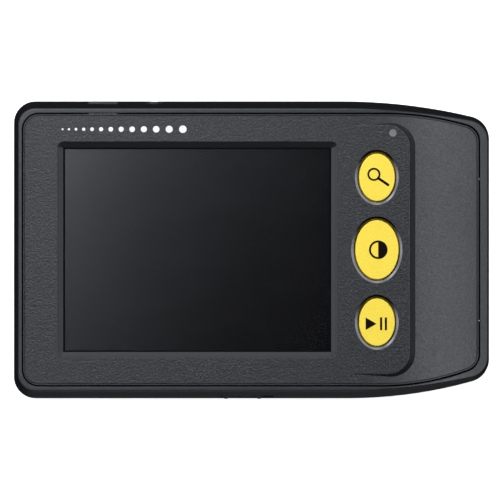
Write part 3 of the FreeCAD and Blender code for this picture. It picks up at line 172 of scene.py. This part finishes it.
def textured_plastic(name, base, tint=COOL, grain=2300, speckle=0.5, rough=(0.30, 0.40), bump=2.7, spread=0.10, edge=None, smooth_below=None, rim_highlight_above=None):
    """Spark-textured moulding: fine grain with light and dark specks, faint large-scale unevenness.

    Below smooth_below, on the thumb grip and the side walls, the same plastic has a finer and flatter grain.
    """
    m = Mat(name)
    if edge:
        m.edge(edge)
    fine = m.noise(grain, 2.0, 0.65)
    specks = m.noise(grain * 0.55, 1.0, 0.5)
    broad = m.noise(38, 3.0, 0.55)
    dust = m.noise(240, 4.0, 0.7)
    texture = 1.0
    sunk = None
    if smooth_below is not None:
        sep = m.node("ShaderNodeSeparateXYZ")
        m.link(m.co, sep.inputs[0])
        texture = m.span(sep.outputs["Z"], 0.35, 1.0, smooth_below - 0.00015, smooth_below)
        # the sloping faces round the screen and the keys are polished in the mould; the dishes round the keys also get
        # a grey metallic colour, a painted sheen
        inside = m.math("MULTIPLY", m.math("LESS_THAN", m.math("ABSOLUTE", sep.outputs["Y"]), 0.0298), m.math("LESS_THAN", m.math("ABSOLUTE", m.math("ADD", sep.outputs["X"], 0.006)), 0.0472))
        sunk = m.math("MULTIPLY", inside, m.math("LESS_THAN", sep.outputs["Z"], 0.02598))
        texture = m.math("MULTIPLY", texture, m.span(sunk, 1.0, 0.15))
        # painted sheen: the upper dish faces round the keys are marked here for a grey metallic colour that brightens
        # their reflections
        ring = m.math("MULTIPLY", sunk, m.math("MULTIPLY", m.math("GREATER_THAN", sep.outputs["X"], 0.0262), m.math("GREATER_THAN", sep.outputs["Z"], 0.02552)))
    c = m.ramp(
        fine,
        [
            (0.30, grey(base * (1 - speckle), tint)),
            (0.45, grey(base * 0.80, tint)),
            (0.54, grey(base * 1.10, tint)),
            (0.62, grey(base * (1 + speckle * 3.0), tint)),
            (0.72, grey(base * (1 + speckle * 9.0), tint)),
        ],
    )
    c = m.mix(grey(base * 2.1, tint), c, texture)
    # painted highlight: above rim height the rear moulding's rim is coloured lighter, where its edge catches the light
    if rim_highlight_above is not None:
        rim = m.node("ShaderNodeSeparateXYZ")
        m.link(m.co, rim.inputs[0])
        c = m.mix(c, grey(base * 2.6, tint), m.span(rim.outputs["Z"], 0.0, 1.0, rim_highlight_above - 0.0003, rim_highlight_above))
    c = m.mix(c, grey(base * 0.62, tint), m.span(broad, 0.0, spread * 2.2, 0.35, 0.75))
    c = m.mix(c, grey(base * 2.1, (1.0, 1.0, 1.0)), m.span(dust, 0.0, 0.10, 0.62, 0.80))
    if sunk is not None:
        # painted sheen: grey metallic colour on the dishes round the keys
        c = m.mix(c, m.ramp(fine, [(0.3, (0.17, 0.17, 0.185)), (0.7, (0.22, 0.22, 0.235))]), ring)
        m.link(ring, m.bsdf.inputs["Metallic"])
    m.color(c)
    gloss = m.span(m.math("ADD", m.math("MULTIPLY", specks, 0.7), m.math("MULTIPLY", broad, 0.3)), rough[0], rough[1], 0.3, 0.7)
    if sunk is not None:
        gloss = m.math("MULTIPLY", gloss, m.span(sunk, 1.0, 0.55))
    m.rough(gloss)
    m.bump(m.math("MULTIPLY", m.math("ADD", fine, m.math("MULTIPLY", specks, 0.6)), texture), bump, 0.00005)
    m.put(Specular_IOR_Level=0.45)
    return m.m


def satin_plastic(name, base, tint=(1.0, 1.0, 1.0), rough=(0.38, 0.5), grain=3500, bump=0.12):
    m = Mat(name)
    n = m.noise(grain, 2.0, 0.6)
    b = m.noise(60, 3.0, 0.6)
    m.color(m.mix(m.ramp(n, [(0.3, grey(base * 0.85, tint)), (0.7, grey(base * 1.15, tint))]), grey(base * 0.8, tint), m.span(b, 0.0, 0.4, 0.4, 0.7)))
    m.rough(m.span(b, rough[0], rough[1], 0.3, 0.7))
    m.bump(n, bump, 0.00003)
    return m.m


def metal(name, base, rough=(0.25, 0.4), stretch=(200, 200, 200), bump=0.1):
    m = Mat(name)
    v = m.scaled(stretch)
    n = m.noise(12, 4.0, 0.6, v)
    m.color(m.ramp(n, [(0.25, grey(base * 0.82)), (0.75, grey(base * 1.1))]))
    m.rough(m.span(n, rough[0], rough[1], 0.3, 0.7))
    m.bump(n, bump, 0.00002)
    m.put(Metallic=1.0)
    return m.m


def tinted(name, low, high, scale=900, rough=(0.3, 0.45), bump=0.1, metallic=0.0):
    m = Mat(name)
    n = m.noise(scale, 3.0, 0.6)
    m.color(m.ramp(n, [(0.3, low), (0.7, high)]))
    m.rough(m.span(n, rough[0], rough[1], 0.3, 0.7))
    m.bump(n, bump, 0.00003)
    m.put(Metallic=metallic)
    return m.m


def yellow_cap(name):
    """Silicone-topped yellow key: matt, with a very fine grain and slightly deeper colour in patches."""
    m = Mat(name)
    m.edge(0.0001)
    n = m.noise(2400, 2.0, 0.6)
    b = m.noise(170, 3.0, 0.55)
    c = m.ramp(n, [(0.3, (0.85, 0.635, 0.050)), (0.7, (0.97, 0.745, 0.064))])
    c = m.mix(c, (0.81, 0.585, 0.040), m.span(b, 0.0, 0.25, 0.45, 0.75))
    m.color(c)
    m.rough(m.span(n, 0.46, 0.60, 0.3, 0.7))
    m.bump(n, 0.15, 0.00003)
    m.put(Specular_IOR_Level=0.35)
    return m.m


def ink(name, colour, gloss=0.5):
    m = Mat(name)
    m.put(Specular_IOR_Level=gloss)
    n = m.noise(3000, 3.0, 0.6)
    m.color(m.mix(colour, tuple(min(1.0, c * 1.6 + 0.0005) for c in colour), m.span(n, 0.0, 0.5, 0.45, 0.75)))
    m.rough(m.span(n, 0.45, 0.6, 0.3, 0.7))
    m.bump(n, 0.1, 0.00002)
    return m.m


def clear(name, tint, rough=0.02, ior=1.49, smudge=0.05):
    """A clear cover with faint wipe marks in its gloss."""
    m = Mat(name)
    n = m.noise(45, 4.0, 0.6, m.scaled((1.0, 2.6, 1.0)))
    m.rough(m.span(n, rough, rough + smudge, 0.45, 0.75))
    m.bump(m.noise(90, 2.0, 0.5), 0.02, 0.00002)
    m.put(Base_Color=(*tint, 1.0), Transmission_Weight=1.0, IOR=ior)
    return m.m


def display_face(name):
    """The switched-off display behind the window: near-black with faint cell structure."""
    m = Mat(name)
    wave = m.node("ShaderNodeTexWave", wave_type="BANDS", bands_direction="X")
    wave.inputs["Scale"].default_value = 420
    m.link(m.co, wave.inputs["Vector"])
    b = m.noise(30, 2.0, 0.5)
    c = m.mix((0.0030, 0.0033, 0.0040), (0.0050, 0.0054, 0.0064), m.math("MULTIPLY", wave.outputs["Fac"], b))
    m.color(c)
    m.rough(m.span(b, 0.10, 0.16, 0.3, 0.7))
    m.put(Specular_IOR_Level=0.5)
    m.bump(wave.outputs["Fac"], 0.01, 0.00002)
    return m.m


def board_green(name):
    m = Mat(name)
    v = m.voronoi(260, "DISTANCE_TO_EDGE")
    n = m.noise(500, 3.0, 0.6)
    c = m.mix((0.010, 0.085, 0.035), (0.022, 0.16, 0.06), m.span(v, 0.0, 1.0, 0.02, 0.10))
    c = m.mix(c, (0.006, 0.05, 0.02), m.span(n, 0.0, 0.5, 0.45, 0.7))
    m.color(c)
    m.rough(m.span(n, 0.25, 0.4, 0.3, 0.7))
    m.bump(v, 0.2, 0.00005)
    return m.m


def battery_film(name):
    """Printed film: pale grey with two plain colour bands and a faint weave."""
    m = Mat(name)
    sep = m.node("ShaderNodeSeparateXYZ")
    m.link(m.co, sep.inputs[0])
    n = m.noise(900, 3.0, 0.6)
    base = m.ramp(n, [(0.3, (0.092, 0.094, 0.098)), (0.7, (0.112, 0.114, 0.118))])
    band = m.ramp(m.span(sep.outputs["X"], 0.0, 1.0, 0.011, 0.059), [(0.0, (0.0, 0, 0)), (0.16, (0, 0, 0)), (0.165, (1, 1, 1)), (0.30, (1, 1, 1)), (0.305, (0, 0, 0))], "CONSTANT")
    c = m.mix(base, (0.03, 0.12, 0.30), band)
    m.color(c)
    m.rough(m.span(n, 0.28, 0.42, 0.3, 0.7))
    m.bump(n, 0.08, 0.00003)
    return m.m


def lens_coating(name):
    m = Mat(name)
    n = m.noise(400, 2.0, 0.5)
    m.rough(m.span(n, 0.01, 0.03, 0.3, 0.7))
    m.put(Base_Color=(0.86, 0.84, 0.98, 1.0), Transmission_Weight=0.9, IOR=1.52, Coat_Weight=0.5, Coat_Tint=(0.75, 0.6, 1.0, 1.0))
    return m.m


def lamp_face(name):
    m = Mat(name)
    v = m.voronoi(600)
    m.color(m.ramp(v, [(0.0, (0.85, 0.66, 0.10)), (0.45, (0.87, 0.70, 0.16)), (0.6, (0.78, 0.76, 0.70)), (1.0, (0.84, 0.83, 0.80))]))
    m.rough(m.span(v, 0.25, 0.5))
    m.bump(v, 0.15, 0.00005)
    return m.m


FRONT = textured_plastic("front_moulding", 0.010, edge=0.00018, smooth_below=0.0257)
REAR = textured_plastic("rear_moulding", 0.0085, speckle=0.40, rough=(0.29, 0.39), bump=0.45, edge=0.00018, rim_highlight_above=0.0255)
MATERIALS = {
    "front_housing": FRONT,
    "rear_housing": REAR,
    "battery_cover": REAR,
    "screen_window": clear("window_acrylic", (0.93, 0.94, 0.96), 0.03, 1.49, 0.05),
    "screen_gasket": tinted("gasket_foam", (0.006, 0.006, 0.006), (0.014, 0.014, 0.014), 1500, (0.85, 0.95), 0.5),
    "lcd_panel": display_face("display_face"),
    "lcd_backlight": metal("display_tray", 0.55, stretch=(60, 600, 600)),
    "lcd_flex": tinted("cable_film", (0.36, 0.16, 0.02), (0.50, 0.25, 0.05), 700, (0.2, 0.35)),
    "lcd_connector": tinted("connector_moulding", (0.62, 0.58, 0.45), (0.72, 0.69, 0.58), 1100, (0.4, 0.55)),
    "main_board": board_green("solder_mask"),
    "board_screws": metal("board_screw_zinc", 0.62),
    "button_switches": satin_plastic("switch_moulding", 0.02),
    "processor_chip": satin_plastic("chip_epoxy", 0.018, rough=(0.45, 0.6)),
    "board_coils": satin_plastic("coil_ferrite", 0.05, rough=(0.5, 0.7), bump=0.4),
    "board_capacitors": metal("capacitor_can", 0.72),
    "buzzer": satin_plastic("buzzer_moulding", 0.016),
    "indicator_led": lamp_face("indicator_chip"),
    "indicator_light_pipe": satin_plastic("light_pipe_moulding", 0.17, (1.0, 1.0, 1.02), (0.30, 0.42), 1500, 0.1),
    "camera_holder": satin_plastic("camera_black", 0.008, rough=(0.5, 0.7)),
    "camera_lens": lens_coating("lens_coating"),
    "camera_cover": clear("rear_window_acrylic", (0.94, 0.95, 0.97), 0.03, 1.49, 0.04),
    "illumination_leds": lamp_face("lamp_phosphor"),
    "battery_pack": battery_film("battery_film"),
    "battery_contact_block": satin_plastic("contact_block_moulding", 0.015),
    "battery_contacts": tinted("contact_gold", (0.72, 0.48, 0.14), (0.88, 0.64, 0.24), 1500, (0.18, 0.3), 0.1, 1.0),
    "stand_frame": satin_plastic("stand_moulding", 0.045, COOL, (0.32, 0.46), 2400, 0.25),
    "stand_pad": tinted("pad_rubber", (0.012, 0.012, 0.012), (0.028, 0.028, 0.028), 1500, (0.75, 0.9), 0.4),
    "stand_pins": metal("pin_steel", 0.60, (0.15, 0.28), (1200, 80, 80)),
    "power_knob": satin_plastic("knob_moulding", 0.020, COOL, (0.34, 0.5), 2400, 0.25),
    "power_switch": metal("switch_can", 0.60),
    "usb_socket": metal("socket_plating", 0.66, (0.18, 0.34)),
    "av_socket": satin_plastic("jack_moulding", 0.012),
    "housing_screws": metal("screw_black_zinc", 0.16, (0.3, 0.5)),
    "rubber_feet": tinted("foot_rubber", (0.014, 0.014, 0.014), (0.032, 0.032, 0.032), 1500, (0.75, 0.9), 0.4),
    "screen_pads": tinted("foam_pad", (0.02, 0.02, 0.02), (0.05, 0.05, 0.05), 1200, (0.9, 0.98), 0.6),
    "zoom_button": yellow_cap("key_yellow"),
    "zoom_plunger": satin_plastic("plunger_moulding", 0.02),
}
for a, b in (
    ("memory_chip", "processor_chip"),
    ("power_chips", "processor_chip"),
    ("camera_board", "main_board"),
    ("camera_lens_barrel", "camera_holder"),
    ("lens_hood", "camera_holder"),
    ("camera_flex", "lcd_flex"),
    ("camera_connector", "lcd_connector"),
    ("power_lever", "zoom_plunger"),
    ("contrast_button", "zoom_button"),
    ("freeze_button", "zoom_button"),
    ("contrast_plunger", "zoom_plunger"),
    ("freeze_plunger", "zoom_plunger"),
):
    MATERIALS[a] = MATERIALS[b]


def dress(obj, material):
    obj.data.materials.clear()
    obj.data.materials.append(material)


for name, obj in nodes.items():
    dress(obj, MATERIALS[name])


# ------------------------------------------------------------------ printed symbols
def new_piece(name, bm, material, body):
    me = bpy.data.meshes.new(name)
    bm.to_mesh(me)
    bm.free()
    o = bpy.data.objects.new(name, me)
    bpy.context.scene.collection.objects.link(o)
    o.data.materials.append(material)
    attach(o, body)
    return o


def slab(bm, rings, z0, z1):
    """A flat printed shape: an outer ring of points, and maybe an inner one, given thickness."""
    top = [[bm.verts.new((x * MM, y * MM, z1 * MM)) for x, y in r] for r in rings]
    low = [[bm.verts.new((x * MM, y * MM, z0 * MM)) for x, y in r] for r in rings]
    if len(rings) == 1:
        bm.faces.new(top[0])
        bm.faces.new(list(reversed(low[0])))
    else:
        n = len(rings[0])
        for i in range(n):
            j = (i + 1) % n
            bm.faces.new((top[0][i], top[0][j], top[1][j], top[1][i]))
            bm.faces.new((low[0][j], low[0][i], low[1][i], low[1][j]))
    for k, (t, l) in enumerate(zip(top, low)):
        n = len(t)
        for i in range(n):
            j = (i + 1) % n
            f = (l[i], l[j], t[j], t[i])
            bm.faces.new(f if k == 0 else tuple(reversed(f)))


def ring_points(cx, cy, r, n=64, a0=0.0, a1=360.0, closed=True):
    count = n if closed else n + 1
    return [(cx + r * math.cos(math.radians(a0 + (a1 - a0) * i / n)), cy + r * math.sin(math.radians(a0 + (a1 - a0) * i / n))) for i in range(count)]


def bar_points(x0, y0, x1, y1, w, caps=8):
    """A straight stroke with round ends."""
    a = math.degrees(math.atan2(y1 - y0, x1 - x0))
    return ring_points(x1, y1, w / 2, caps, a - 90, a + 90, False) + ring_points(x0, y0, w / 2, caps, a + 90, a + 270, False)


def key_top(node):
    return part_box(node)[1].z / MM


def key_centre(node):
    lo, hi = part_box(node)
    c = (lo + hi) / 2
    return c.x / MM, c.y / MM


SYMBOL = ink("symbol_ink", (0.0045, 0.0015, 0.0012), 0.06)
WHITE = ink("white_ink", (0.80, 0.81, 0.82))

# magnifying glass
cx, cy = key_centre("zoom_button")
z = key_top("zoom_button")
bm = bmesh.new()
slab(bm, [ring_points(cx - 0.8, cy + 0.82, 1.76, 72), ring_points(cx - 0.8, cy + 0.82, 1.24, 72)], z - 0.02, z + 0.02)
slab(bm, [bar_points(cx + 0.38, cy - 0.22, cx + 3.02, cy - 2.02, 0.70)], z - 0.02, z + 0.02)
new_piece("zoom_symbol", bm, SYMBOL, "zoom_key")

# half-filled circle
cx, cy = key_centre("contrast_button")
z = key_top("contrast_button")
bm = bmesh.new()
slab(bm, [ring_points(cx + 0.37, cy + 0.02, 2.5, 80), ring_points(cx + 0.37, cy + 0.02, 1.95, 80)], z - 0.02, z + 0.02)
slab(bm, [ring_points(cx + 0.35, cy + 0.02, 2.0, 40, -90, 90, False)], z - 0.021, z + 0.019)
new_piece("contrast_symbol", bm, SYMBOL, "contrast_key")

# play and pause
cx, cy = key_centre("freeze_button")
z = key_top("freeze_button")
bm = bmesh.new()
slab(bm, [[(cx - 3.02, cy - 2.1), (cx - 0.08, cy - 0.42), (cx - 3.02, cy + 1.28)]], z - 0.02, z + 0.02)
for x0 in (0.84, 2.12):
    slab(bm, [[(cx + x0, cy - 2.15), (cx + x0 + 0.58, cy - 2.15), (cx + x0 + 0.58, cy + 1.30), (cx + x0, cy + 1.30)]], z - 0.02, z + 0.02)
new_piece("freeze_symbol", bm, SYMBOL, "freeze_key")

# a near-black, almost unreflecting band round the edge of the window: painted shade standing in for the shaded groove
# between the window and its bevel
def rect_points(cx, cy, a, b, r, n=8):
    """A rectangle of half sizes a and b with rounded corners."""
    pts = []
    for sx, sy, a0 in ((1, 1, 0), (-1, 1, 90), (-1, -1, 180), (1, -1, 270)):
        pts += ring_points(cx + sx * (a - r), cy + sy * (b - r), r, n, a0, a0 + 90, False)
    return pts


WIN_X, WIN_A, WIN_B = -14.6, 72.0 / 2, 54.9 / 2
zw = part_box("screen_window")[1].z / MM
bm = bmesh.new()
slab(bm, [rect_points(WIN_X, 0.0, WIN_A + 0.6, WIN_B + 0.6, 0.6), rect_points(WIN_X, 0.0, WIN_A - 0.5, WIN_B - 0.42, 0.25)], zw - 0.02, zw + 0.008)
new_piece("window_groove_shade", bm, ink("groove_shade_paint", (0.0040, 0.0040, 0.0046), 0.02), "housing")

# a row of printed dots that grow, above the screen
bm = bmesh.new()
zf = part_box("front_housing")[1].z / MM
x = -51.0
for i in range(13):
    r = 0.24 + 0.064 * i
    slab(bm, [ring_points(x + r, 32.4, r, 40)], zf - 0.02, zf + 0.012)
    x += 2 * r + 1.17 + 0.05 * i
print("dots end", x)
new_piece("front_print", bm, WHITE, "housing")

# ------------------------------------------------------------------ floor, lights, camera
SOFT_BASE, SOFT_MAX = 0.40, 6.0
UNDER_W = 20.0
LIGHT_TINT = (0.91, 0.935, 1.0)
scene = bpy.context.scene
scene.view_settings.view_transform = "Standard"
scene.view_settings.look = "None"

me = bpy.data.meshes.new("floor")
me.from_pydata([(-3, -3, -0.0002), (3, -3, -0.0002), (3, 3, -0.0002), (-3, 3, -0.0002)], [], [(0, 1, 2, 3)])
floor = bpy.data.objects.new("floor", me)
scene.collection.objects.link(floor)
fm = Mat("floor_paper")
fm.color(fm.ramp(fm.noise(14, 3.0), [(0.3, (0.80, 0.80, 0.80)), (0.7, (0.84, 0.84, 0.84))]))
fm.put(Roughness=0.9, Emission_Color=(1, 1, 1, 1), Emission_Strength=0.78)
floor.data.materials.append(fm.m)
back = fm.node("ShaderNodeNewGeometry").outputs["Backfacing"]
clear_side = fm.node("ShaderNodeBsdfTransparent")
two = fm.node("ShaderNodeMixShader")
fm.link(back, two.inputs[0]).link(fm.bsdf.outputs[0], two.inputs[1]).link(clear_side.outputs[0], two.inputs[2])
fm.link(two.outputs[0], fm.out.inputs["Surface"])
floor.visible_shadow = False
floor.visible_diffuse = False
floor.visible_glossy = False

# a soft box over the left of the device, its light falling off towards the lower right
H = 0.42
me = bpy.data.meshes.new("softbox")
me.from_pydata([(-0.20, -0.32, H), (0.10, -0.32, H), (0.10, 0.42, H), (-0.20, 0.42, H)], [], [(3, 2, 1, 0)])
box_ = bpy.data.objects.new("softbox", me)
scene.collection.objects.link(box_)
bmat = bpy.data.materials.new("softbox_light")
bmat.use_nodes = True
nt = bmat.node_tree
nt.nodes.clear()


def mnode(op, *args):
    n = nt.nodes.new("ShaderNodeMath")
    n.operation = op
    for i, v in enumerate(args):
        if isinstance(v, (int, float)):
            n.inputs[i].default_value = v
        else:
            nt.links.new(v, n.inputs[i])
    return n.outputs[0]


o = nt.nodes.new("ShaderNodeOutputMaterial")
e = nt.nodes.new("ShaderNodeEmission")
tc = nt.nodes.new("ShaderNodeTexCoord")
sp = nt.nodes.new("ShaderNodeSeparateXYZ")
nt.links.new(tc.outputs["Object"], sp.inputs[0])
falloff = mnode("ADD", mnode("MULTIPLY", mnode("ADD", sp.outputs["X"], 0.048), -30.0), mnode("MULTIPLY", sp.outputs["Y"], 17.0))
glow = mnode("MINIMUM", mnode("MULTIPLY", mnode("POWER", math.e, falloff), SOFT_BASE), SOFT_MAX)
e.inputs["Color"].default_value = (*LIGHT_TINT, 1)
nt.links.new(glow, e.inputs["Strength"])
nt.links.new(e.outputs[0], o.inputs["Surface"])
box_.data.materials.append(bmat)
box_.visible_camera = False
box_.visible_shadow = False


def area(name, loc, target, sx, sy, power, colour=LIGHT_TINT):
    l = bpy.data.lights.new(name, "AREA")
    l.shape = "RECTANGLE"
    l.size, l.size_y = sx, sy
    l.energy = power
    l.color = colour
    o = bpy.data.objects.new(name, l)
    o.location = loc
    o.rotation_euler = (Vector(target) - Vector(loc)).to_track_quat("-Z", "Y").to_euler()
    scene.collection.objects.link(o)
    o.visible_camera = False
    return o


area("under_light", (0, 0, -0.9), (0, 0, 0.02), 0.2, 0.2, UNDER_W)

world = bpy.data.worlds.new("studio")
scene.world = world
world.use_nodes = True
nt = world.node_tree
nt.nodes.clear()
wo = nt.nodes.new("ShaderNodeOutputWorld")
mx = nt.nodes.new("ShaderNodeMixShader")
b1 = nt.nodes.new("ShaderNodeBackground")
b2 = nt.nodes.new("ShaderNodeBackground")
lp = nt.nodes.new("ShaderNodeLightPath")
tc = nt.nodes.new("ShaderNodeTexCoord")
# a dark room with soft reflectors round it: azimuth, tilt from straight up, tightness, strength
REFLECTORS = (
    (45, 66, 14.0, 1.45),
    (8, 66, 16.0, 0.8),
    (0, 80, 20.0, 0.45),
    (90, 68, 16.0, 1.75),
    (180, 70, 18.0, 1.8),
    (137, 66, 26.0, 2.7),
    (270, 118, 12.0, 0.72),
    (90, 108, 10.0, 0.05),
    (0, 42, 24.0, 2.3),
    (8, 30, 55.0, 5.6),
)
total = 0.008
for azimuth, tilt, tight, strength in REFLECTORS:
    t, a = math.radians(tilt), math.radians(azimuth)
    dot = nt.nodes.new("ShaderNodeVectorMath")
    dot.operation = "DOT_PRODUCT"
    dot.inputs[1].default_value = (math.sin(t) * math.cos(a), math.sin(t) * math.sin(a), math.cos(t))
    nt.links.new(tc.outputs["Generated"], dot.inputs[0])
    lobe = mnode("MULTIPLY", mnode("POWER", mnode("MAXIMUM", dot.outputs["Value"], 0.0), tight), strength)
    total = mnode("ADD", lobe, total)
b1.inputs["Color"].default_value = (*LIGHT_TINT, 1)
nt.links.new(total, b1.inputs["Strength"])
b2.inputs["Color"].default_value = (0.97, 0.97, 0.975, 1)
b2.inputs["Strength"].default_value = 1.0
nt.links.new(lp.outputs["Is Camera Ray"], mx.inputs[0])
nt.links.new(b1.outputs[0], mx.inputs[1])
nt.links.new(b2.outputs[0], mx.inputs[2])
nt.links.new(mx.outputs[0], wo.inputs["Surface"])

DIST = 5.5
cam = bpy.data.cameras.new("camera")
cam.sensor_width = 36.0
cam.lens = 36.0 * DIST / 0.13435
cam.clip_start, cam.clip_end = 0.5, 20
camera = bpy.data.objects.new("camera", cam)
# the view's centre is 0.4 mm to the left of the object's
camera.location = (-0.0004, -0.00005, 0.026 + DIST)
camera.rotation_euler = (0, 0, 0)
scene.collection.objects.link(camera)
scene.camera = camera
